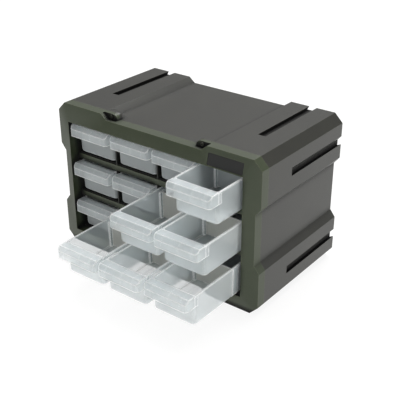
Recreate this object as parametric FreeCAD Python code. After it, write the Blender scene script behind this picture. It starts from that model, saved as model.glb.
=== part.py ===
import FreeCAD, Part
import math
import os
from FreeCAD import Vector

# Desk cabinet with twelve clear drawers, in millimetres.
# The origin is the centre of the footprint on the standing plane.
# X runs to the right, Y to the back, Z up. The front frame's outline lies at y = FRONT.

# Cabinet outline, as seen from the front
WIDTH = 390.0
HEIGHT = 248.0
DEPTH = 220.0
CORNER_CHAMFER = 14.0
TOP_RIB_LENGTH = 92.6
SIDE_RIB_LENGTH = 71.5
RECESS_DEPTH = 9.0
RAMP_RUN = 11.4
WALL = 2.5

# Drawer grid, inside the lip of the front frame's opening
COLUMNS = 4
ROWS = 3
LIP_FROM_SIDE = 27.0
LIP_FROM_TOP = 27.25
BAR_HEIGHT = 9.0

# Front frame
FRAME_DEPTH = 16.0
LIP_FORWARD = 7.0
STEP_TIP_SHIFT = 2.5
BAR_SETBACK = 10.0
BAR_DEPTH = 6.0
BAR_SKIN = 2.0
FUNNEL_SETBACK = 34.0
SPIGOT_LENGTH = 4.0
SPIGOT_WALL = 1.8
SPIGOT_ROOT = 6.0
SPIGOT_CLEARANCE = 0.2

# Screw blocks at the feet of the top and bottom ribs
BLOCK_LENGTH = 17.0
BLOCK_ROUND_WIDTH = 10.0
BLOCK_SETBACK = 9.5
BLOCK_TAIL = 8.0
BLOCK_TAIL_BEVEL = 4.5
POCKET_LENGTH = 4.5
POCKET_DEPTH = 1.6
SCREW_FROM_BLOCK_END = 12.0
SCREW_HEAD_RADIUS = 3.0
SCREW_HEAD_HEIGHT = 2.0
SCREW_SHANK_RADIUS = 1.6
SCREW_LENGTH = 12.0
SCREW_RECESS_LENGTH = 3.2
SCREW_RECESS_WIDTH = 0.9
SCREW_RECESS_DEPTH = 1.1
SCREW_CLEARANCE = 0.05
SCREW_HOLE_SPARE = 1.0

# Blank nameplate on the front frame's upper right slope
PLATE_LENGTH = 60.6
PLATE_HEIGHT = 17.6
PLATE_THICKNESS = 0.8
PLATE_SUNK = 0.4
PLATE_CORNER = 1.2
PLATE_CLEARANCE = 0.15
PLATE_FROM_LIP_CORNER = 31.5
PLATE_FROM_LIP = 10.9

# Column posts
POST_THICKNESS = 2.5
POST_SETBACK = 10.5
POST_CLEARANCE = 0.15

# Shelves
SHELF_THICKNESS = 2.0
SHELF_SETBACK = 12.0
SHELF_SIDE_CLEARANCE = 0.5
SHELF_TONGUE_CLEARANCE = 0.3
RAIL_WIDTH = 4.4
RAIL_HEIGHT = 8.0
OUTER_RAIL_WIDTH = 3.0
STOP_RIB_THICKNESS = 2.2
STOP_RIB_GAP = 0.5
REAR_STOP_HEIGHT = 6.0
REAR_STOP_THICKNESS = 2.0
LEDGE_WIDTH = 6.0
LEDGE_HEIGHT = 3.0
FLOOR_RIB_THICKNESS = 2.0

# Connector slots, one profile on all four sides
SLOT_MOUTH = 13.3
SLOT_DEPTH = 6.0
SLOT_UNDERCUT = 3.0
SLOT_SLOPE = 7.0
SLOT_SETBACK = 76.5
SLOT_FROM_SIDE = 53.0
SLOT_FROM_TOP = 42.2

# Keyholes in the back wall
KEYHOLE_SPACING = 240.0
KEYHOLE_FROM_TOP = 62.0
KEYHOLE_HEAD_RADIUS = 5.0
KEYHOLE_NECK_RADIUS = 2.5
KEYHOLE_RISE = 9.0

# Drawer tub
DRAWER_GAP = 7.0
DRAWER_SETBACK = 10.2
DRAWER_REAR_GAP = 10.3
RIM_CLEARANCE = 4.0
RUNNER_HEIGHT = 1.3
RUNNER_THICKNESS = 1.4
RUNNER_OFFSETS = (12.0, 18.0)
RUNNER_END_MARGIN = 9.0
TUB_WALL = 1.6
TUB_FLOOR = 1.6
TUB_DRAFT = 1.2
TUB_CORNER = 5.5
TUB_BOTTOM_ROUND = 4.0
RIM_LEDGE = 0.8
RIM_HEIGHT = 2.2
STOP_TAB_WIDTH = 20.0
STOP_TAB_RISE = 6.0
STOP_CLEARANCE = 0.4

# Hood handle on the drawer's front
HOOD_DEPTH = 18.6
HOOD_STRIP = 12.3
HOOD_SLANT_DROP = 6.5
HOOD_HEIGHT = 18.5
HOOD_SKIN = 1.5
HOOD_CORNER = 5.0
HOOD_CHEEK_LENGTH = 8.0
HOOD_CHEEK_THICKNESS = 0.7
WEB_THICKNESS = 1.2
WEB_HEIGHT = 3.5
WEB_OFFSETS = (-24.0, 6.0, 27.0)

# Divider plate and its slotted guides
DIVIDER_SETBACK = 97.0
DIVIDER_THICKNESS = 1.8
DIVIDER_SLOT_CLEARANCE = 0.3
DIVIDER_TOP_MARGIN = 7.0
GUIDE_WIDTH = 13.0
GUIDE_INNER_HEIGHT = 2.4
GUIDE_OUTER_HEIGHT = 0.8
GUIDE_TOP_MARGIN = 6.0

# How far each drawer is pulled out, row by row from the top
PULLS = ((0.0, 0.0, 0.0, 68.0), (0.0, 0.0, 94.0, 96.0), (0.0, 122.5, 123.0, 120.0))

# How many even flats a quarter round has: on upright corners and bores, on bottom edges, inside a hood
UPRIGHT_FLAT_COUNT = 4
EDGE_FLAT_COUNT = 3
HOOD_FLAT_COUNT = 2

# How far a cutting tool runs past what it cuts, and an added rib runs into what carries it
OVERCUT = 1.0
LAP = 1.0

# Sizes that follow from the ones above
FRONT = -DEPTH / 2
REAR = DEPTH / 2
SEAM = FRONT + FRAME_DEPTH
FUNNEL_BACK = FRONT + FUNNEL_SETBACK
LIP_HALF = WIDTH / 2 - LIP_FROM_SIDE
LIP_TOP = HEIGHT - LIP_FROM_TOP
LIP_BOTTOM = LIP_FROM_TOP
OPENING_HEIGHT = LIP_TOP - LIP_BOTTOM
COLUMN_PITCH = 2 * LIP_HALF / COLUMNS
ROW_OPENING = (OPENING_HEIGHT - (ROWS - 1) * BAR_HEIGHT) / ROWS
ROW_PITCH = ROW_OPENING + BAR_HEIGHT
LIP_FACE = FRONT - LIP_FORWARD
MIDDLE = HEIGHT / 2
STOP_RIB_FRONT = FUNNEL_BACK + STOP_RIB_GAP
STOP_RIB_BACK = STOP_RIB_FRONT + STOP_RIB_THICKNESS
TUB_HEIGHT = ROW_OPENING - SHELF_THICKNESS - RUNNER_HEIGHT - RIM_CLEARANCE
TUB_LENGTH = DEPTH - WALL - DRAWER_REAR_GAP - DRAWER_SETBACK
RIM_HALF = (COLUMN_PITCH - DRAWER_GAP) / 2
TUB_TOP_HALF = RIM_HALF - RIM_LEDGE
TUB_BOTTOM_HALF = TUB_TOP_HALF - TUB_DRAFT
DRAWER_FRONT = FRONT + DRAWER_SETBACK
TRAVEL = DRAWER_FRONT + TUB_LENGTH - TUB_WALL - STOP_RIB_BACK - STOP_CLEARANCE


def flat_face(points):
    """Plane face inside a loop of corners."""
    return Part.Face(Part.makePolygon(points + points[:1]))


def prism(points, y_from, y_to):
    """Solid between two planes across Y, from corners given as (x, z)."""
    corners = [Vector(x, y_from, z) for x, z in points]
    return flat_face(corners).extrude(Vector(0, y_to - y_from, 0))


def side_prism(points, x_from, x_to):
    """Solid between two planes across X, from corners given as (y, z)."""
    corners = [Vector(x_from, y, z) for y, z in points]
    return flat_face(corners).extrude(Vector(x_to - x_from, 0, 0))


def block(x_from, x_to, y_from, y_to, z_from, z_to):
    """Plain box between two corners."""
    corner = Vector(x_from, y_from, z_from)
    return Part.makeBox(x_to - x_from, y_to - y_from, z_to - z_from, corner)


def round_bar(x, z, radius, y_from, y_to):
    """Bar along Y, round in even flats."""
    count = 4 * UPRIGHT_FLAT_COUNT
    turns = [2 * math.pi * step / count for step in range(count)]
    return prism([(x + radius * math.cos(t), z + radius * math.sin(t)) for t in turns], y_from, y_to)


def rounded_corners(half_along, half_across, radius, flats):
    """Rectangle about the centre with its corners rounded in even flats, as (along, across) points."""
    points = []
    for quarter in range(4):
        along = (half_along - radius) * (1 if quarter in (0, 3) else -1)
        across = (half_across - radius) * (1 if quarter in (0, 1) else -1)
        for step in range(flats + 1):
            turn = math.pi / 2 * (quarter + step / flats)
            points.append((along + radius * math.cos(turn), across + radius * math.sin(turn)))
    return points


def level_ring(half_width, y_front, y_back, radius, z):
    """Level rectangle with rounded corners, as points at one height."""
    middle = (y_front + y_back) / 2
    corners = rounded_corners(half_width, (y_back - y_front) / 2, radius, UPRIGHT_FLAT_COUNT)
    return [Vector(x, middle + y, z) for x, y in corners]


def four_mirrors(shape):
    """The shape and its copies across the cabinet's two middle planes."""
    middle = Vector(0, 0, MIDDLE)
    beside = shape.mirror(middle, Vector(1, 0, 0))
    below = [item.mirror(middle, Vector(0, 0, 1)) for item in (shape, beside)]
    return [shape, beside] + below


def quarter_outline(inset):
    """Upper right quarter of the outline moved inwards, as (x, height over the middle)."""
    half_width = WIDTH / 2 - inset
    half_height = HEIGHT / 2 - inset
    cut = CORNER_CHAMFER - inset * (2 - math.sqrt(2))
    slide = inset * math.tan(math.atan2(RECESS_DEPTH, RAMP_RUN) / 2)
    rib_x = WIDTH / 2 - TOP_RIB_LENGTH + slide
    rib_h = HEIGHT / 2 - SIDE_RIB_LENGTH + slide
    return [
        (rib_x - RAMP_RUN, half_height - RECESS_DEPTH),
        (rib_x, half_height),
        (half_width - cut, half_height),
        (half_width, half_height - cut),
        (half_width, rib_h),
        (half_width - RECESS_DEPTH, rib_h - RAMP_RUN),
    ]


def whole_loop(quarter):
    """All four quarters of a loop, from its upper right one, as (x, z)."""
    right_top = quarter
    right_bottom = [(x, -h) for x, h in reversed(quarter)]
    left_bottom = [(-x, -h) for x, h in quarter]
    left_top = [(-x, h) for x, h in reversed(quarter)]
    return [(x, MIDDLE + h) for x, h in right_top + right_bottom + left_bottom + left_top]


def outline(inset):
    """The cabinet's outline moved inwards, as (x, z) corners."""
    return whole_loop(quarter_outline(inset))


def lip_points():
    """One corner of the lip for each corner of the outline, so that plane facets join the two."""
    tip_x = WIDTH / 2 - TOP_RIB_LENGTH + STEP_TIP_SHIFT
    tip_h = HEIGHT / 2 - SIDE_RIB_LENGTH + STEP_TIP_SHIFT
    half_h = OPENING_HEIGHT / 2
    top_tip = (tip_x, half_h)
    side_tip = (LIP_HALF, tip_h)
    corner = (LIP_HALF, half_h)
    return whole_loop([top_tip, top_tip, corner, corner, side_tip, side_tip])


def sloped_solid(inset, y_lip, y_rim, y_back):
    """Closed body whose front slopes in plane facets from the outline to the lip."""
    outer = outline(inset)
    inner = lip_points()
    rim = [Vector(x, y_rim, z) for x, z in outer]
    back = [Vector(x, y_back, z) for x, z in outer]
    lip = [Vector(x, y_lip, z) for x, z in inner]
    loops = [back]
    count = len(outer)
    for index in range(count):
        after = (index + 1) % count
        loops.append([back[index], back[after], rim[after], rim[index]])
        facet = [rim[index], rim[after], lip[after]]
        if not lip[index].isEqual(lip[after], 0.001):
            facet.append(lip[index])
        loops.append(facet)
    lip_loop = []
    for point in lip:
        if not lip_loop or not point.isEqual(lip_loop[-1], 0.001):
            lip_loop.append(point)
    loops.append(lip_loop)
    faces = [flat_face(points) for points in loops]
    shell = Part.makeShell(faces)
    shell.sewShape()
    solid = Part.makeSolid(shell)
    solid.fix(0.001, 0.001, 0.001)
    return solid


def bar_bottoms():
    """Lower edges of the front frame's cross bars."""
    return [LIP_BOTTOM + row * ROW_PITCH - BAR_HEIGHT for row in range(1, ROWS)]


def screw_axis():
    """Place of the upper right frame screw, as (x, z)."""
    block_end = WIDTH / 2 - TOP_RIB_LENGTH - BLOCK_LENGTH - BLOCK_ROUND_WIDTH
    return (block_end + SCREW_FROM_BLOCK_END, HEIGHT - RECESS_DEPTH / 2)


def screw_block(y_from, y_to):
    """The filled corner at the foot of the upper right rib, which holds a frame screw."""
    rib_end = WIDTH / 2 - TOP_RIB_LENGTH
    flat_end = rib_end - BLOCK_LENGTH
    ramp = [Vector(x, y_from, MIDDLE + h) for x, h in quarter_outline(WALL / 2)[:2]]
    reach = math.cos(math.pi / 4)
    start = Vector(flat_end, y_from, HEIGHT)
    bend = Vector(flat_end - BLOCK_ROUND_WIDTH * reach, y_from, HEIGHT - RECESS_DEPTH * (1 - reach))
    foot = Vector(flat_end - BLOCK_ROUND_WIDTH, y_from, HEIGHT - RECESS_DEPTH)
    under = [foot, Vector(foot.x, y_from, ramp[0].z)] + ramp + [Vector(rib_end, y_from, HEIGHT), start]
    wire = Part.Wire([Part.Arc(start, bend, foot).toShape()] + Part.makePolygon(under).Edges)
    return Part.Face(wire).extrude(Vector(0, y_to - y_from, 0))


def screw_hole():
    """Bore of the upper right frame screw."""
    x, z = screw_axis()
    y_to = FRONT + BLOCK_SETBACK + SCREW_LENGTH + SCREW_HOLE_SPARE
    return round_bar(x, z, SCREW_SHANK_RADIUS + SCREW_CLEARANCE, FRONT, y_to)


def plate_axes():
    """Centre, two in-plane directions and outward normal of the nameplate's seat."""
    rise = HEIGHT - LIP_TOP
    slope = math.hypot(rise, LIP_FORWARD)
    up = Vector(0, LIP_FORWARD / slope, rise / slope)
    outward = Vector(0, -rise / slope, LIP_FORWARD / slope)
    lip_point = Vector(LIP_HALF - PLATE_FROM_LIP_CORNER, LIP_FACE, LIP_TOP)
    return lip_point + up * PLATE_FROM_LIP, Vector(1, 0, 0), up, outward


def plate_solid(grow, floor, thickness):
    """Rounded plate on the slope, its back face sunk by floor."""
    centre, along, up, outward = plate_axes()
    base = centre - outward * floor
    half_length = PLATE_LENGTH / 2 + grow
    half_height = PLATE_HEIGHT / 2 + grow
    corners = rounded_corners(half_length, half_height, PLATE_CORNER, UPRIGHT_FLAT_COUNT)
    loop = [base + along * a + up * b for a, b in corners]
    return flat_face(loop).extrude(outward * thickness)


def make_front_frame():
    """Moulded front frame: sloped face, lip funnel, cross bars, spigot and screw blocks."""
    shell = sloped_solid(0, LIP_FACE, FRONT, SEAM)
    hollow = sloped_solid(WALL, LIP_FACE + WALL, FRONT + WALL, SEAM + OVERCUT)
    long_body = sloped_solid(0, LIP_FACE, FRONT, FUNNEL_BACK)
    wide = LIP_HALF + WALL
    funnel = block(-wide, wide, LIP_FACE, FUNNEL_BACK, LIP_BOTTOM - WALL, LIP_TOP + WALL)
    funnel = funnel.common(long_body)
    mouth = block(-LIP_HALF, LIP_HALF, LIP_FACE - OVERCUT, FUNNEL_BACK + OVERCUT, LIP_BOTTOM, LIP_TOP)
    root = prism(outline(WALL / 2), SEAM - SPIGOT_ROOT, SEAM)
    tongue = prism(outline(WALL + SPIGOT_CLEARANCE), SEAM - SPIGOT_ROOT, SEAM + SPIGOT_LENGTH)
    clear = WALL + SPIGOT_CLEARANCE + SPIGOT_WALL
    core = prism(outline(clear), SEAM - SPIGOT_ROOT - OVERCUT, SEAM + SPIGOT_LENGTH + OVERCUT)
    blocks = four_mirrors(screw_block(FRONT + BLOCK_SETBACK, SEAM))
    body = shell.cut(hollow).fuse([root.fuse(tongue).cut(core)] + blocks)
    body = body.fuse(funnel).cut(mouth)
    top_stop = block(-LIP_HALF, LIP_HALF, FUNNEL_BACK - WALL, STOP_RIB_BACK, LIP_TOP, LIP_TOP + 2 * WALL)
    bars = []
    for low in bar_bottoms():
        bars.append(cross_bar(low))
    body = body.fuse(bars + [top_stop])
    holes = four_mirrors(screw_hole()) + four_mirrors(screw_pocket())
    body = body.cut(holes + [plate_solid(PLATE_CLEARANCE, PLATE_SUNK + PLATE_THICKNESS, WALL)])
    return body.removeSplitter()


def cross_bar(low):
    """One bar of the front frame, a channel that is open to the back."""
    y_front = FRONT + BAR_SETBACK
    y_back = y_front + BAR_DEPTH
    reach = LIP_HALF + WALL / 2
    bar = block(-reach, reach, y_front, y_back, low, low + BAR_HEIGHT)
    skin = y_front + BAR_SKIN
    high = low + BAR_HEIGHT - BAR_SKIN
    return bar.cut(block(-LIP_HALF, LIP_HALF, skin, y_back + OVERCUT, low + BAR_SKIN, high))


def screw_pocket():
    """Shallow sunk place in front of the upper right screw block."""
    y_back = FRONT + BLOCK_SETBACK
    rib_end = WIDTH / 2 - TOP_RIB_LENGTH
    foot = rib_end - BLOCK_LENGTH - BLOCK_ROUND_WIDTH
    level = HEIGHT - RECESS_DEPTH
    low = level - POCKET_DEPTH
    above = HEIGHT + OVERCUT
    points = [(foot, level + OVERCUT), (foot + POCKET_DEPTH, low), (rib_end - RAMP_RUN, low)]
    points = points + [(rib_end, HEIGHT - POCKET_DEPTH), (rib_end, above), (foot, above)]
    return prism(points, y_back - POCKET_LENGTH, y_back)


def make_nameplate():
    """Blank plate in the recess of the front frame's slope."""
    return plate_solid(0, PLATE_SUNK + PLATE_THICKNESS, PLATE_THICKNESS)


def make_frame_screws():
    """Four self-tapping screws that hold the front frame to the casing."""
    x, z = screw_axis()
    seat = FRONT + BLOCK_SETBACK
    head_front = seat - SCREW_HEAD_HEIGHT
    head = round_bar(x, z, SCREW_HEAD_RADIUS, head_front, seat)
    shank = round_bar(x, z, SCREW_SHANK_RADIUS, seat, seat + SCREW_LENGTH)
    floor = head_front + SCREW_RECESS_DEPTH
    long = SCREW_RECESS_LENGTH / 2
    short = SCREW_RECESS_WIDTH / 2
    flat = block(x - long, x + long, head_front, floor, z - short, z + short)
    upright = block(x - short, x + short, head_front, floor, z - long, z + long)
    screw = head.fuse(shank).cut(flat.fuse(upright))
    return Part.makeCompound(four_mirrors(screw))


def slot_profile(centre, side, level, upright):
    """Leaning section of a connector slot, as (x, z), a little past the outside.

    On the top and bottom it leans towards -X, and on the sides towards -Z."""
    half = SLOT_MOUTH / 2
    spread = SLOT_UNDERCUT / SLOT_DEPTH * OVERCUT
    ease = SLOT_SLOPE / SLOT_DEPTH * OVERCUT
    pairs = [
        (-half - ease, -OVERCUT),
        (half - spread, -OVERCUT),
        (half + SLOT_UNDERCUT, SLOT_DEPTH),
        (-half + SLOT_SLOPE, SLOT_DEPTH),
    ]
    if upright:
        return [(level - side * deep, centre - along) for along, deep in pairs]
    return [(centre - along, level - side * deep) for along, deep in pairs]


def slot_places():
    """Centre, outward side, surface level and direction of the eight connector slots."""
    places = []
    for sign in (-1, 1):
        x = sign * (WIDTH / 2 - SLOT_FROM_SIDE)
        places.append((x, 1, HEIGHT, False))
        places.append((x, -1, 0, False))
        z = MIDDLE + sign * (HEIGHT / 2 - SLOT_FROM_TOP)
        places.append((z, 1, WIDTH / 2, True))
        places.append((z, -1, -WIDTH / 2, True))
    return places


def offset_prism(points, grow, y_from, y_to):
    """Prism over a section that is grown by an even wall."""
    corners = [Vector(x, y_from, z) for x, z in points]
    wire = Part.makePolygon(corners + corners[:1])
    grown = Part.Face(wire.makeOffset2D(grow, 2))
    return grown.extrude(Vector(0, y_to - y_from, 0))


def keyhole(x):
    """Hanging hole in the back wall, with its neck above its head."""
    z = HEIGHT - KEYHOLE_FROM_TOP
    y_from = REAR - WALL - OVERCUT
    y_to = REAR + OVERCUT
    head = round_bar(x, z, KEYHOLE_HEAD_RADIUS, y_from, y_to)
    neck = round_bar(x, z + KEYHOLE_RISE, KEYHOLE_NECK_RADIUS, y_from, y_to)
    gap = block(x - KEYHOLE_NECK_RADIUS, x + KEYHOLE_NECK_RADIUS, y_from, y_to, z, z + KEYHOLE_RISE)
    return head.fuse([neck, gap])


def shelf_bottoms():
    """Undersides of the shelves, from the bottom up."""
    return [LIP_BOTTOM + row * ROW_PITCH for row in range(ROWS)]


def shelf_half():
    """Half the width of a shelf, between the recessed side walls."""
    return WIDTH / 2 - RECESS_DEPTH - WALL - SHELF_SIDE_CLEARANCE


def make_casing():
    """Moulded sleeve with its back wall, slot channels, shelf ledges and screw blocks."""
    outside = prism(outline(0), SEAM, REAR)
    room = prism(outline(WALL), SEAM - OVERCUT, REAR - WALL)
    body = outside.cut(room)
    additions = []
    back = REAR - WALL / 2
    ledge_inner = shelf_half() - LEDGE_WIDTH
    for top in shelf_bottoms():
        low = top - LEDGE_HEIGHT
        for side in (-1, 1):
            ends = sorted((side * ledge_inner, side * (WIDTH / 2)))
            additions.append(block(ends[0], ends[1], STOP_RIB_FRONT, back, low, top).common(outside))
        additions.append(block(-ledge_inner, ledge_inner, REAR - WALL - LEDGE_WIDTH, back, low, top))
    for column in range(1, COLUMNS):
        x = -LIP_HALF + column * COLUMN_PITCH
        half = FLOOR_RIB_THICKNESS / 2
        low = RECESS_DEPTH + WALL / 2
        additions.append(block(x - half, x + half, STOP_RIB_FRONT, back, low, LIP_BOTTOM))
    start = FRONT + SLOT_SETBACK
    cuts = []
    for centre, side, level, upright in slot_places():
        section = slot_profile(centre, side, level, upright)
        additions.append(offset_prism(section, WALL, start - WALL, REAR).common(outside))
        cuts.append(prism(section, start, REAR + OVERCUT))
    additions.extend(four_mirrors(block_tail()))
    cuts.extend(four_mirrors(screw_hole()))
    for sign in (-1, 1):
        cuts.append(keyhole(sign * KEYHOLE_SPACING / 2))
    body = body.fuse(additions)
    return body.cut(cuts).removeSplitter()


def block_tail():
    """The casing's half of the upper right screw block, which ends in bevels."""
    rib_end = WIDTH / 2 - TOP_RIB_LENGTH
    x_foot = rib_end - BLOCK_LENGTH - BLOCK_ROUND_WIDTH
    y_end = SEAM + BLOCK_TAIL
    y_bevel = y_end - BLOCK_TAIL_BEVEL
    low = HEIGHT - RECESS_DEPTH - WALL
    plan = [(x_foot, SEAM), (rib_end, SEAM), (rib_end, y_end)]
    plan = plan + [(x_foot + BLOCK_TAIL_BEVEL, y_end), (x_foot, y_bevel)]
    corners = [Vector(x, y, low) for x, y in plan]
    envelope = flat_face(corners).extrude(Vector(0, 0, HEIGHT - low))
    side = [(SEAM, low), (y_end, low), (y_end, HEIGHT - BLOCK_TAIL_BEVEL)]
    side = side + [(y_bevel, HEIGHT), (SEAM, HEIGHT)]
    envelope = envelope.common(side_prism(side, x_foot, rib_end))
    return screw_block(SEAM, y_end).common(envelope)


def make_shelf(bottom, hangs_over_row):
    """Shelf with guide rails, slots for the posts, a rear stop and a front stop rib."""
    half = shelf_half()
    tongue = LIP_HALF - SHELF_TONGUE_CLEARANCE
    y_front = FRONT + SHELF_SETBACK
    y_back = REAR - WALL - SHELF_SIDE_CLEARANCE
    top = bottom + SHELF_THICKNESS
    plate = block(-half, half, STOP_RIB_FRONT, y_back, bottom, top)
    plate = plate.fuse(block(-tongue, tongue, y_front, STOP_RIB_FRONT, bottom, top))
    stop_front = DRAWER_FRONT + TUB_LENGTH - TUB_DRAFT + STOP_CLEARANCE
    stop_back = stop_front + REAR_STOP_THICKNESS
    rear_stop = block(-LIP_HALF, LIP_HALF, stop_front, stop_back, top - LAP, top + REAR_STOP_HEIGHT)
    pieces = [rear_stop]
    for column in range(COLUMNS + 1):
        x = -LIP_HALF + column * COLUMN_PITCH
        inner = 0 < column < COLUMNS
        width = RAIL_WIDTH if inner else OUTER_RAIL_WIDTH
        pieces.append(guide_rail(x, width, stop_front + LAP, top))
    if hangs_over_row:
        low = bottom - BAR_HEIGHT
        pieces.append(block(-LIP_HALF, LIP_HALF, STOP_RIB_FRONT, STOP_RIB_BACK, low, bottom + LAP))
    plate = plate.fuse(pieces)
    notches = []
    gap = POST_THICKNESS / 2 + POST_CLEARANCE
    for column in range(1, COLUMNS):
        x = -LIP_HALF + column * COLUMN_PITCH
        start = y_front - OVERCUT
        notches.append(block(x - gap, x + gap, start, STOP_RIB_FRONT, bottom - OVERCUT, top + OVERCUT))
    return plate.cut(notches).removeSplitter()


def guide_rail(x, width, y_back, top):
    """Rail between two columns, with a ramped nose towards the front."""
    y_front = STOP_RIB_FRONT
    points = [(y_front, top - LAP), (y_front, top), (y_front + RAIL_HEIGHT, top + RAIL_HEIGHT)]
    points = points + [(y_back, top + RAIL_HEIGHT), (y_back, top - LAP)]
    return side_prism(points, x - width / 2, x + width / 2)


def make_post(x):
    """Thin post between two columns, notched over the cross bars."""
    y_front = FRONT + POST_SETBACK
    half = POST_THICKNESS / 2
    post = block(x - half, x + half, y_front, FUNNEL_BACK, LIP_BOTTOM, LIP_TOP)
    notch_back = FRONT + BAR_SETBACK + BAR_DEPTH + POST_CLEARANCE
    beside = half + OVERCUT
    start = y_front - OVERCUT
    notches = []
    for bar in bar_bottoms():
        low = bar - POST_CLEARANCE
        high = bar + BAR_HEIGHT + POST_CLEARANCE
        notches.append(block(x - beside, x + beside, start, notch_back, low, high))
    return post.cut(notches)


def side_inset(z):
    """How far the draft has drawn the tub's sides in at a height, under its rim."""
    return TUB_DRAFT * (1 - z / (TUB_HEIGHT - RIM_HEIGHT))


def stacked_solid(levels, radius):
    """Solid through level rounded rectangles, each as (inset, height), from the bottom up.

    All corners keep one radius, so every face between two levels is plane."""
    rings = []
    for inset, z in levels:
        rings.append(level_ring(TUB_TOP_HALF - inset, inset, TUB_LENGTH - inset, radius, z))
    faces = [flat_face(rings[0]), flat_face(rings[-1])]
    for low, high in zip(rings, rings[1:]):
        for index in range(len(low)):
            after = (index + 1) % len(low)
            faces.append(flat_face([low[index], low[after], high[after], high[index]]))
    shell = Part.makeShell(faces)
    shell.sewShape()
    solid = Part.makeSolid(shell)
    solid.fix(0.001, 0.001, 0.001)
    return solid


def outside_levels(top):
    """Levels of the tub's outside, with its bottom edge rounded in even flats."""
    levels = []
    for step in range(EDGE_FLAT_COUNT + 1):
        turn = math.pi / 2 * step / EDGE_FLAT_COUNT
        z = TUB_BOTTOM_ROUND * (1 - math.cos(turn))
        levels.append((side_inset(z) + TUB_BOTTOM_ROUND * (1 - math.sin(turn)), z))
    return levels + [(side_inset(top), top)]


def inside_levels(top):
    """Levels of the tub's inside, with one bevel that keeps the wall's thickness."""
    bevel = (TUB_BOTTOM_ROUND - TUB_WALL) * (2 - math.sqrt(2))
    levels = [(TUB_WALL + side_inset(TUB_FLOOR) + bevel, TUB_FLOOR)]
    for z in (TUB_FLOOR + bevel, top):
        levels.append((TUB_WALL + side_inset(z), z))
    return levels


def wall_half(z):
    """Half the tub's outer width at a height, under its rim."""
    return TUB_TOP_HALF - side_inset(z)


def make_tub_shell():
    """Drafted tub with rounded corners, a rounded bottom edge and a thickened rim."""
    under_rim = TUB_HEIGHT - RIM_HEIGHT
    outside = stacked_solid(outside_levels(under_rim), TUB_CORNER)
    rim = flat_face(level_ring(RIM_HALF, 0, TUB_LENGTH, TUB_CORNER, under_rim))
    rim = rim.extrude(Vector(0, 0, RIM_HEIGHT))
    inside = stacked_solid(inside_levels(TUB_HEIGHT + OVERCUT), TUB_CORNER - TUB_WALL)
    return outside.fuse(rim).cut(inside)


def hood_solid(inset, y_end, z_low, flats):
    """Solid under the hood's skin, moved inwards, from y_end to the front."""
    lean = math.atan2(HOOD_SLANT_DROP, HOOD_DEPTH - HOOD_STRIP)
    strip = HOOD_STRIP - inset * math.tan(lean / 2)
    front = inset - HOOD_DEPTH
    slant_low = -inset - (-front - strip) * math.tan(lean)
    half = RIM_HALF - inset
    section = [(y_end, -inset), (-strip, -inset), (front, slant_low), (front, z_low), (y_end, z_low)]
    half_length = y_end - front
    radius = HOOD_CORNER - inset
    plan = rounded_corners(half, half_length, radius, flats)
    ring = [Vector(x, y_end + y, z_low) for x, y in plan]
    return side_prism(section, -half, half).common(flat_face(ring).extrude(Vector(0, 0, -z_low)))


def make_hood():
    """Hollow hood handle, open below, with short webs under its skin and cheeks along the tub."""
    deep = -HOOD_HEIGHT - OVERCUT
    hood = hood_solid(0, TUB_WALL / 2, -HOOD_HEIGHT, UPRIGHT_FLAT_COUNT)
    hood = hood.cut(hood_solid(HOOD_SKIN, TUB_WALL / 2 + OVERCUT, deep, HOOD_FLAT_COUNT))
    webs = []
    for x in WEB_OFFSETS:
        half = WEB_THICKNESS / 2
        slab = hood_solid(HOOD_SKIN / 2, TUB_WALL / 2, -HOOD_HEIGHT, 1)
        slab = slab.common(block(x - half, x + half, -HOOD_DEPTH, TUB_WALL / 2, -HOOD_HEIGHT, 0))
        webs.append(slab.cut(hood_solid(HOOD_SKIN + WEB_HEIGHT, 0, deep, 1)))
    for side in (-1, 1):
        ends = sorted((side * RIM_HALF, side * (RIM_HALF - HOOD_CHEEK_THICKNESS)))
        top = -RIM_HEIGHT / 2
        webs.append(block(ends[0], ends[1], -HOOD_CORNER, HOOD_CHEEK_LENGTH, -HOOD_HEIGHT, top))
    hood = hood.fuse(webs)
    hood.translate(Vector(0, 0, TUB_HEIGHT))
    return hood


def guide_block(side):
    """Slotted guide for the divider on one side wall."""
    y_from = DIVIDER_SETBACK - GUIDE_WIDTH / 2
    y_to = DIVIDER_SETBACK + GUIDE_WIDTH / 2
    z_pad = TUB_BOTTOM_ROUND
    z_rim = TUB_HEIGHT - RIM_HEIGHT
    z_top = TUB_HEIGHT - GUIDE_TOP_MARGIN
    pad = [
        (side * (wall_half(z_pad) + GUIDE_OUTER_HEIGHT), z_pad),
        (side * (wall_half(z_rim) + GUIDE_OUTER_HEIGHT), z_rim),
        (side * (wall_half(z_rim) - TUB_WALL / 2), z_rim),
        (side * (wall_half(z_pad) - TUB_WALL / 2), z_pad),
    ]
    inner = [
        (side * (wall_half(TUB_FLOOR) - TUB_WALL / 2), TUB_FLOOR / 2),
        (side * (wall_half(z_top) - TUB_WALL / 2), z_top),
        (side * (wall_half(z_top) - TUB_WALL - GUIDE_INNER_HEIGHT), z_top),
        (side * (wall_half(TUB_FLOOR) - TUB_WALL - GUIDE_INNER_HEIGHT), TUB_FLOOR / 2),
    ]
    return [prism(pad, y_from, y_to), prism(inner, y_from, y_to)]


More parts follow.
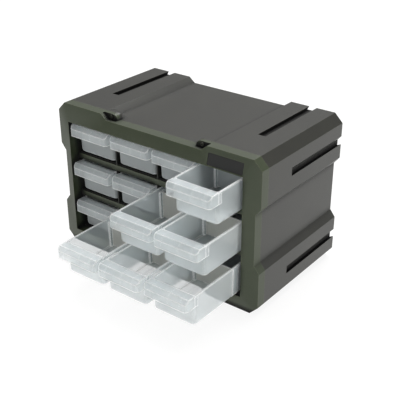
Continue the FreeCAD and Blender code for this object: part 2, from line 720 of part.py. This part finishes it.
def guide_slot(side):
    """Room for the divider's edge in one guide."""
    half = DIVIDER_THICKNESS / 2 + DIVIDER_SLOT_CLEARANCE / 2
    z_top = TUB_HEIGHT - GUIDE_TOP_MARGIN + OVERCUT
    points = [
        (side * (wall_half(TUB_FLOOR) - TUB_WALL), TUB_FLOOR),
        (side * (wall_half(z_top) - TUB_WALL), z_top),
        (side * (wall_half(z_top) - TUB_WALL - GUIDE_INNER_HEIGHT - OVERCUT), z_top),
        (side * (wall_half(TUB_FLOOR) - TUB_WALL - GUIDE_INNER_HEIGHT - OVERCUT), TUB_FLOOR),
    ]
    return prism(points, DIVIDER_SETBACK - half, DIVIDER_SETBACK + half)


def runner_ribs():
    """Two pairs of runners under the tub's floor."""
    ribs = []
    y_to = TUB_LENGTH - TUB_DRAFT - RUNNER_END_MARGIN
    half = RUNNER_THICKNESS / 2
    for offset in RUNNER_OFFSETS:
        for side in (-1, 1):
            x = side * (TUB_BOTTOM_HALF - offset)
            low = -RUNNER_HEIGHT
            ribs.append(block(x - half, x + half, RUNNER_END_MARGIN, y_to, low, TUB_FLOOR / 2))
    return ribs


def stop_tab():
    """Tab over the rear wall, which catches behind the stop rib of the shelf above."""
    half = STOP_TAB_WIDTH / 2
    y_from = TUB_LENGTH - TUB_WALL
    z_root = TUB_HEIGHT - RIM_HEIGHT
    z_top = TUB_HEIGHT + STOP_TAB_RISE
    bevel = STOP_TAB_RISE / 2
    points = [(-half, z_root), (half, z_root), (half, z_top - bevel), (half - bevel, z_top)]
    points = points + [(bevel - half, z_top), (-half, z_top - bevel)]
    return prism(points, y_from, TUB_LENGTH)


def make_tub():
    """Whole clear drawer, in its own frame: front wall on y = 0, underside of the floor on z = 0."""
    shell = make_tub_shell()
    pieces = [make_hood(), stop_tab()] + runner_ribs()
    slots = []
    for side in (-1, 1):
        pieces.extend(guide_block(side))
        slots.append(guide_slot(side))
    return shell.fuse(pieces).cut(slots).removeSplitter()


def make_divider():
    """Plate that lifts out of the two guides, in the drawer's own frame."""
    gap = DIVIDER_SLOT_CLEARANCE
    z_low = TUB_FLOOR
    z_high = TUB_HEIGHT - DIVIDER_TOP_MARGIN
    low = wall_half(z_low) - TUB_WALL - gap
    high = wall_half(z_high) - TUB_WALL - gap
    points = [(-low, z_low), (low, z_low), (high, z_high), (-high, z_high)]
    half = DIVIDER_THICKNESS / 2
    return prism(points, DIVIDER_SETBACK - half, DIVIDER_SETBACK + half)


def drawer_place(row, column, pull):
    """Where the drawer's own frame lies, for a row from the top and a column from the left."""
    x = -LIP_HALF + (column + 0.5) * COLUMN_PITCH
    z = LIP_BOTTOM + (ROWS - 1 - row) * ROW_PITCH + SHELF_THICKNESS + RUNNER_HEIGHT
    return Vector(x, DRAWER_FRONT - pull, z)


def pull_of(row, column):
    """How far a drawer is out, none for those of a larger grid."""
    if row < len(PULLS) and column < len(PULLS[row]):
        return PULLS[row][column]
    return 0.0


def save(shape, node):
    """Write one named piece and say what it holds."""
    shape.exportStep("parts/" + node + ".step")
    volume = round(shape.Volume / 1000, 2)
    print(node, "solids", len(shape.Solids), "valid", shape.isValid(), "cm3", volume)


def main():
    os.makedirs("parts", exist_ok=True)
    save(make_casing(), "casing")
    save(make_front_frame(), "front_frame")
    save(make_nameplate(), "nameplate")
    save(make_frame_screws(), "frame_screws")
    shelf_names = ["bottom_shelf"] + ["lower_shelf", "upper_shelf"][:ROWS - 1]
    for index, name in enumerate(shelf_names):
        save(make_shelf(shelf_bottoms()[index], index > 0), name)
    for column, name in enumerate(["left", "middle", "right"][:COLUMNS - 1], 1):
        save(make_post(-LIP_HALF + column * COLUMN_PITCH), "column_post_" + name)
    tub = make_tub()
    divider = make_divider()
    for row in range(ROWS):
        for column in range(COLUMNS):
            place = drawer_place(row, column, pull_of(row, column))
            label = "r" + str(row + 1) + "c" + str(column + 1)
            save(tub.translated(place), "drawer_" + label)
            save(divider.translated(place), "divider_" + label)
    print("drawer travel", round(TRAVEL, 2))


main()
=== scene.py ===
import math

import bpy
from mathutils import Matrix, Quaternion, Vector


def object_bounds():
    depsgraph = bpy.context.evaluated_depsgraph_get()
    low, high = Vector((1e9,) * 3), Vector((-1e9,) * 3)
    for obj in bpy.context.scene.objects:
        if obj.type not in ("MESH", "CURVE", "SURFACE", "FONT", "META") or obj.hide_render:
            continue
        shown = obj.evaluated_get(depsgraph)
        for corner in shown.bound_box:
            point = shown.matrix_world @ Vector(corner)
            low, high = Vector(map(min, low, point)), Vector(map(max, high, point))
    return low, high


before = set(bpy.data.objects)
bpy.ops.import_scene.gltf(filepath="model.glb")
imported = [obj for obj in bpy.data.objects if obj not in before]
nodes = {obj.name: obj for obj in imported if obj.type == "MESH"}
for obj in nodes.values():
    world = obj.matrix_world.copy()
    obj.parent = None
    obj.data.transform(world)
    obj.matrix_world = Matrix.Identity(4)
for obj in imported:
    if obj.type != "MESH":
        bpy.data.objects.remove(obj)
cad_low, cad_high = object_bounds()


# Casing
# The sleeve round all the drawers, with its back wall: one injection moulding of grey ABS, 2.5 mm thick.
# Its mould was spark eroded. The eight leaning slots take joining strips, and four screw blocks at the
# front edge hold the frame.


def linear(hex_colour):
    """Linear RGBA of an sRGB colour such as 6b6b63."""
    parts = [int(hex_colour[at:at + 2], 16) / 255 for at in (0, 2, 4)]
    return [p / 12.92 if p <= 0.04045 else ((p + 0.055) / 1.055) ** 2.4 for p in parts] + [1.0]


def add_node(tree, kind, inputs=None, **settings):
    """New node with its settings, and its inputs linked or set."""
    node = tree.nodes.new(kind)
    for name, value in settings.items():
        setattr(node, name, value)
    for name, value in (inputs or {}).items():
        if isinstance(value, bpy.types.NodeSocket):
            tree.links.new(value, node.inputs[name])
        else:
            node.inputs[name].default_value = value
    return node


def fresh_material(name):
    """Empty material, and the node tree to fill."""
    material = bpy.data.materials.new(name)
    material.use_nodes = True
    tree = material.node_tree
    tree.nodes.clear()
    return material, tree


def near_edge(tree, reach_mm):
    """From 0 on a flat to 1 beside an edge, by how far a rounded normal leaves the true one."""
    flat_likeness = 0.985
    edge_likeness = 0.93
    rounded = add_node(tree, "ShaderNodeBevel", {"Radius": reach_mm / 1000}, samples=6)
    likeness = add_node(
        tree,
        "ShaderNodeVectorMath",
        {
            0: rounded.outputs["Normal"],
            1: add_node(tree, "ShaderNodeNewGeometry").outputs["True Normal"],
        },
        operation="DOT_PRODUCT",
    )
    edge = add_node(
        tree,
        "ShaderNodeMapRange",
        {"Value": likeness.outputs["Value"], "From Min": flat_likeness, "From Max": edge_likeness},
    )
    return edge.outputs["Result"]


def moulded_plastic(name, light, dark, painted_edge_light, roughness, grain_mm, cloud_mm, ior):
    """Opaque moulding: even grain, a faint cloudiness, edges painted paler as a highlight, and painted
    shade in recesses, which are also made matt.
    """
    cloud_from, cloud_to = 0.35, 0.65
    # Painted highlight: how far from an edge the colour is painted paler, and how strongly.
    edge_light_reach_mm = 1.5
    edge_light_strength = 0.6
    # Painted shade: how far it looks for closed space, where it starts and is full, its dark colour and the
    # matt face it gets.
    painted_shade_reach_mm = 12.0
    painted_shade_starts, painted_shade_full = 0.92, 0.78
    painted_shade_colour = "0c0c0a"
    recess_roughness = 0.95
    glossier, duller = 0.06, 0.08
    grain_depth_mm = 0.2
    grain_strength = 0.25
    material, tree = fresh_material(name)
    place = add_node(tree, "ShaderNodeTexCoord").outputs["Object"]

    cloud = add_node(
        tree,
        "ShaderNodeTexNoise",
        {"Vector": place, "Scale": 1000 / cloud_mm, "Detail": 3.0, "Roughness": 0.6},
    )
    clouded = add_node(tree, "ShaderNodeValToRGB", {"Fac": cloud.outputs["Fac"]})
    clouded.color_ramp.elements[0].color = linear(dark)
    clouded.color_ramp.elements[0].position = cloud_from
    clouded.color_ramp.elements[1].color = linear(light)
    clouded.color_ramp.elements[1].position = cloud_to

    # Painted highlight: near edges the colour is painted paler, as if they caught light.
    painted_edge_light_share = add_node(
        tree,
        "ShaderNodeMath",
        {0: near_edge(tree, edge_light_reach_mm), 1: edge_light_strength},
        operation="MULTIPLY",
    )
    edged = add_node(tree, "ShaderNodeMix", {"Factor": painted_edge_light_share.outputs["Value"]}, data_type="RGBA")
    tree.links.new(clouded.outputs["Color"], edged.inputs[6])
    edged.inputs[7].default_value = linear(painted_edge_light)

    # The less of the space above a place is open, the deeper it lies in a slot or a corner, and there the
    # colour is painted dark as shade.
    openness = add_node(tree, "ShaderNodeAmbientOcclusion", {"Distance": painted_shade_reach_mm / 1000}, samples=6)
    painted_shade_mask = add_node(
        tree,
        "ShaderNodeMapRange",
        {"Value": openness.outputs["AO"], "From Min": painted_shade_starts, "From Max": painted_shade_full},
    )
    # Painted shade: the colour goes towards the dark shade colour where the space above is closed.
    shaded = add_node(tree, "ShaderNodeMix", {"Factor": painted_shade_mask.outputs["Result"]}, data_type="RGBA")
    tree.links.new(edged.outputs[2], shaded.inputs[6])
    shaded.inputs[7].default_value = linear(painted_shade_colour)

    grain = add_node(
        tree,
        "ShaderNodeTexNoise",
        {"Vector": place, "Scale": 1000 / grain_mm, "Detail": 2.0, "Roughness": 0.7},
    )
    sheen = add_node(
        tree,
        "ShaderNodeMapRange",
        {"Value": grain.outputs["Fac"], "To Min": roughness - glossier, "To Max": roughness + duller},
    )
    matt = add_node(
        tree,
        "ShaderNodeMapRange",
        {
            "Value": painted_shade_mask.outputs["Result"],
            "To Min": sheen.outputs["Result"],
            "To Max": recess_roughness,
        },
    )
    bump = add_node(
        tree,
        "ShaderNodeBump",
        {
            "Height": grain.outputs["Fac"],
            "Strength": grain_strength,
            "Distance": grain_depth_mm / 1000,
        },
    )
    surface = add_node(
        tree,
        "ShaderNodeBsdfPrincipled",
        {
            "Base Color": shaded.outputs[2],
            "Roughness": matt.outputs["Result"],
            "Normal": bump.outputs["Normal"],
            "IOR": ior,
        },
    )
    add_node(tree, "ShaderNodeOutputMaterial", {"Surface": surface.outputs["BSDF"]})
    return material


def round_edges(piece, radius_mm):
    """Joins the faces of a moulding, which come apart from the solid, and rounds its edges."""
    join_mm = 0.01
    flat_deg = 0.5
    crease_deg = 28
    joined = piece.modifiers.new("shared_corners", "WELD")
    joined.merge_threshold = join_mm / 1000
    plane = piece.modifiers.new("plane_faces", "DECIMATE")
    plane.decimate_type = "DISSOLVE"
    plane.angle_limit = math.radians(flat_deg)
    rounded = piece.modifiers.new("edge_round", "BEVEL")
    rounded.width = radius_mm / 1000
    rounded.segments = 2
    rounded.limit_method = "ANGLE"
    rounded.angle_limit = math.radians(crease_deg)
    rounded.use_clamp_overlap = True
    rounded.harden_normals = False
    for polygon in piece.data.polygons:
        polygon.use_smooth = True
    even = piece.modifiers.new("even_shading", "WEIGHTED_NORMAL")
    even.keep_sharp = False


def dress(piece, material):
    """Gives a piece its material in every slot."""
    slots = piece.data.materials
    if not slots:
        slots.append(material)
    for index in range(len(slots)):
        slots[index] = material


# Spark-eroded ABS: a fine even grain spreads each highlight into a dull sheen, and the edges are painted
# paler as a highlight.
# The real grain is about 0.1 mm wide. It is drawn 0.9 mm wide, because less wouldn't show.
grey_abs = moulded_plastic(
    "grey_abs_spark_eroded",
    light="2f2f29",
    dark="2b2b26",
    painted_edge_light="55564d",
    roughness=0.37,
    grain_mm=0.9,
    cloud_mm=60.0,
    ior=1.53,
)
dress(nodes["casing"], grey_abs)
round_edges(nodes["casing"], 0.5)


# Front frame
# The olive ABS moulding that closes the front of the casing, pulled against it by four screws.
# Its faces slope to the lip of the opening, and its two cross bars part the rows of drawers.

# The same grain as on the casing in olive, a little duller.
olive_abs = moulded_plastic(
    "olive_abs_spark_eroded",
    light="39412b",
    dark="343d26",
    painted_edge_light="636a53",
    roughness=0.44,
    grain_mm=0.9,
    cloud_mm=50.0,
    ior=1.53,
)
dress(nodes["front_frame"], olive_abs)
round_edges(nodes["front_frame"], 0.6)


# Nameplate
# A bare plate of nearly black ABS, 0.8 mm thick, moulded by itself.
# It is glued in its seat in the slope of the frame, at the upper right.

# A nearly black surface of middling gloss, which shows the floor as a grey haze.
black_abs = moulded_plastic(
    "dark_abs_smooth",
    light="0e0f0b",
    dark="0c0d09",
    painted_edge_light="14150f",
    roughness=0.45,
    grain_mm=2.0,
    cloud_mm=30.0,
    ior=1.53,
)
dress(nodes["nameplate"], black_abs)
round_edges(nodes["nameplate"], 0.15)


# Shelves and posts
# Three shelves with guide rails and three thin posts, injection moulded from dark polypropylene.
# The shelves lie on ledges in the casing, and the posts stand behind the frame between the columns.

# Polypropylene straight from a plain mould: dark, with a soft and nearly matt face.
inner_pp = moulded_plastic(
    "dark_pp_moulded",
    light="1e1f1b",
    dark="191a16",
    painted_edge_light="2c2d28",
    roughness=0.6,
    grain_mm=1.2,
    cloud_mm=40.0,
    ior=1.49,
)
inner_pieces = [f"{level}_shelf" for level in ("bottom", "lower", "upper")]
inner_pieces += [f"column_post_{side}" for side in ("left", "middle", "right")]
for name in inner_pieces:
    dress(nodes[name], inner_pp)
    round_edges(nodes[name], 0.3)


# Frame screws
# Four self-tapping steel screws with cross recesses, cold headed and blackened against rust.
# They sit in the screw blocks of the frame and bite into the blocks of the casing.


def blackened_steel(name, bright, dull, roughness, mottle_mm):
    """Steel with a thin black oxide, mottled by handling."""
    material, tree = fresh_material(name)
    place = add_node(tree, "ShaderNodeTexCoord").outputs["Object"]
    mottle = add_node(
        tree,
        "ShaderNodeTexNoise",
        {"Vector": place, "Scale": 1000 / mottle_mm, "Detail": 3.0},
    )
    colour = add_node(tree, "ShaderNodeValToRGB", {"Fac": mottle.outputs["Fac"]})
    colour.color_ramp.elements[0].color = linear(dull)
    colour.color_ramp.elements[1].color = linear(bright)
    surface = add_node(
        tree,
        "ShaderNodeBsdfPrincipled",
        {"Base Color": colour.outputs["Color"], "Metallic": 1.0, "Roughness": roughness},
    )
    add_node(tree, "ShaderNodeOutputMaterial", {"Surface": surface.outputs["BSDF"]})
    return material


# Black oxide on steel: a dark metal with a broad, weak highlight.
black_steel = blackened_steel(
    "steel_blackened",
    bright="55564f",
    dull="2e2f2a",
    roughness=0.45,
    mottle_mm=1.1,
)
dress(nodes["frame_screws"], black_steel)
round_edges(nodes["frame_screws"], 0.2)


# Drawers and dividers
# Twelve tubs of natural polypropylene with 1.6 mm walls, injection moulded with their hooded handles.
# A loose plate of the same stuff stands in two slotted guides halfway along each tub.


def clear_polypropylene(name, flat_colour, painted_edge_glow, haze, roughness, edge_mm):
    """Light passes the flats, while thin ribs and edges are painted white and opaque, as a highlight for
    the light they gather.
    """
    grazing_haze = 0.9
    edge_haze = 1.0
    flow_mm = 40.0
    gloss_spread = 0.06
    steepness = 3.0
    bleed_mm = 4.0
    material, tree = fresh_material(name)
    place = add_node(tree, "ShaderNodeTexCoord").outputs["Object"]

    # The melt leaves long soft waves in the gloss.
    flow = add_node(
        tree,
        "ShaderNodeTexNoise",
        {"Vector": place, "Scale": 1000 / flow_mm, "Detail": 2.0, "Distortion": 0.6},
    )
    sheen = add_node(
        tree,
        "ShaderNodeMapRange",
        {
            "Value": flow.outputs["Fac"],
            "To Min": roughness - gloss_spread,
            "To Max": roughness + gloss_spread,
        },
    )

    # A wall seen at a flat angle is longer to look through, so it is hazier.
    grazing = add_node(tree, "ShaderNodeLayerWeight", {"Blend": 0.5}).outputs["Facing"]
    steep = add_node(tree, "ShaderNodeMath", {0: grazing, 1: steepness}, operation="POWER")
    wall = add_node(
        tree,
        "ShaderNodeMapRange",
        {"Value": steep.outputs["Value"], "To Min": haze, "To Max": grazing_haze},
    )
    # Near edges the wall is made fully opaque, so that it carries the painted white highlight.
    edge = near_edge(tree, edge_mm)
    veil = add_node(
        tree,
        "ShaderNodeMapRange",
        {"Value": edge, "To Min": wall.outputs["Result"], "To Max": edge_haze},
    )

    # Only the face by which a ray goes into the wall carries the haze, so each wall counts once.
    entering = add_node(
        tree,
        "ShaderNodeMath",
        {0: 1.0, 1: add_node(tree, "ShaderNodeNewGeometry").outputs["Backfacing"]},
        operation="SUBTRACT",
    )
    cover = add_node(
        tree,
        "ShaderNodeMath",
        {0: veil.outputs["Result"], 1: entering.outputs["Value"]},
        operation="MULTIPLY",
    )
    # Painted highlight: near edges the colour is painted whiter, standing for the light the ribs and rims
    # gather.
    colour = add_node(tree, "ShaderNodeMix", {"Factor": edge}, data_type="RGBA")
    colour.inputs[6].default_value = linear(flat_colour)
    colour.inputs[7].default_value = linear(painted_edge_glow)
    surface = add_node(
        tree,
        "ShaderNodeBsdfPrincipled",
        {
            "Base Color": colour.outputs[2],
            "Roughness": sheen.outputs["Result"],
            "IOR": 1.49,
            "Alpha": cover.outputs["Value"],
            "Subsurface Weight": 0.9,
            "Subsurface Radius": (bleed_mm / 1000, bleed_mm / 1000, bleed_mm / 1000),
            "Subsurface Scale": 1.0,
        },
    )
    add_node(tree, "ShaderNodeOutputMaterial", {"Surface": surface.outputs["BSDF"]})
    return material


# Clear polypropylene: see-through flats with a cool haze, and painted white highlight lines along rims,
# webs and corners.
clear_pp = clear_polypropylene(
    "clear_pp_moulded",
    flat_colour="e0e9ec",
    painted_edge_glow="fafbfa",
    haze=0.41,
    roughness=0.3,
    edge_mm=3.0,
)
# The same from a grained mould: a milkier and warmer plate, which hides more of what is behind it.
milky_pp = clear_polypropylene(
    "milky_pp_moulded",
    flat_colour="dadad2",
    painted_edge_glow="f3f3ee",
    haze=0.6,
    roughness=0.4,
    edge_mm=2.0,
)
clear_plate = "divider_r1c4"
for name in nodes:
    if name.startswith("drawer_") or name == clear_plate:
        dress(nodes[name], clear_pp)
        round_edges(nodes[name], 0.35)
    elif name.startswith("divider_"):
        dress(nodes[name], milky_pp)
        round_edges(nodes[name], 0.35)

# A look across the open drawers passes the two faces of up to twenty walls.
bpy.context.scene.cycles.transparent_max_bounces = 40


# Stage
# A white floor that runs out of sight under an even white sky.
# A broad light stands above and a little behind, a low one at the right and a weak one in front.

# White paint: its own white for the eye and for reflections, and a share of real paint that keeps the
# object's shadow and throws light back up at it.
floor_size = 200.0
floor_gap = 0.0005
glow_share = 0.8
glow_strength = 1.1
bpy.ops.mesh.primitive_plane_add(size=floor_size, location=(0, 0, cad_low.z - floor_gap))
floor = bpy.context.object
floor.name = "floor"
white_floor, floor_tree = fresh_material("studio_floor")
ray = add_node(floor_tree, "ShaderNodeLightPath")
seen = ray.outputs["Is Camera Ray"]
for kind in ("Is Glossy Ray", "Is Transmission Ray"):
    either = add_node(floor_tree, "ShaderNodeMath", {0: seen, 1: ray.outputs[kind]}, operation="MAXIMUM")
    seen = either.outputs["Value"]
share = add_node(floor_tree, "ShaderNodeMath", {0: seen, 1: glow_share}, operation="MULTIPLY")
paint = add_node(floor_tree, "ShaderNodeBsdfDiffuse", {"Color": linear("f2f2f0")})
glow = add_node(
    floor_tree,
    "ShaderNodeEmission",
    {"Color": linear("ffffff"), "Strength": glow_strength},
)
mixed = add_node(
    floor_tree,
    "ShaderNodeMixShader",
    {0: share.outputs["Value"], 1: paint.outputs["BSDF"], 2: glow.outputs["Emission"]},
)
add_node(floor_tree, "ShaderNodeOutputMaterial", {"Surface": mixed.outputs["Shader"]})
floor.data.materials.append(white_floor)


def soft_sun(name, towards, strength, spread_deg):
    """Broad even light that travels along a direction."""
    lamp = bpy.data.lights.new(name, "SUN")
    lamp.energy = strength
    lamp.angle = math.radians(spread_deg)
    holder = bpy.data.objects.new(name, lamp)
    holder.rotation_euler = Vector(towards).to_track_quat("-Z", "Y").to_euler()
    bpy.context.scene.collection.objects.link(holder)


soft_sun("overhead", towards=(0.17, -0.42, -0.89), strength=2.95, spread_deg=50)
soft_sun("right_back", towards=(-0.9, -0.4, -0.02), strength=1.8, spread_deg=40)
soft_sun("front_fill", towards=(-0.2, 0.97, -0.1), strength=0.7, spread_deg=60)

sky_strength = 0.3
world = bpy.data.worlds.new("studio")
bpy.context.scene.world = world
world.use_nodes = True
world.node_tree.nodes.clear()
white_sky = add_node(
    world.node_tree,
    "ShaderNodeBackground",
    {"Color": linear("ffffff"), "Strength": sky_strength},
)
add_node(world.node_tree, "ShaderNodeOutputWorld", {"Surface": white_sky.outputs["Background"]})


# Camera
# It stands where the photograph was taken from, to the right of the front and above it.
# Place, aim, roll and lens were worked out from the corners of the casing in the picture.

camera_place = Vector((0.7162, -0.9214, 0.6890))
camera_target = Vector((0.0895, -0.1100, 0.1593))
camera_roll_deg = -0.149
lens_mm = 71.8
sensor_mm = 36.0
camera_data = bpy.data.cameras.new("photo_camera")
camera_data.lens = lens_mm
camera_data.sensor_width = sensor_mm
camera = bpy.data.objects.new("photo_camera", camera_data)
aim = (camera_target - camera_place).to_track_quat("-Z", "Y")
camera.rotation_mode = "QUATERNION"
camera.rotation_quaternion = aim @ Quaternion((0, 0, 1), math.radians(camera_roll_deg))
camera.location = camera_place
bpy.context.scene.collection.objects.link(camera)
bpy.context.scene.camera = camera
bpy.context.scene.view_settings.view_transform = "Standard"
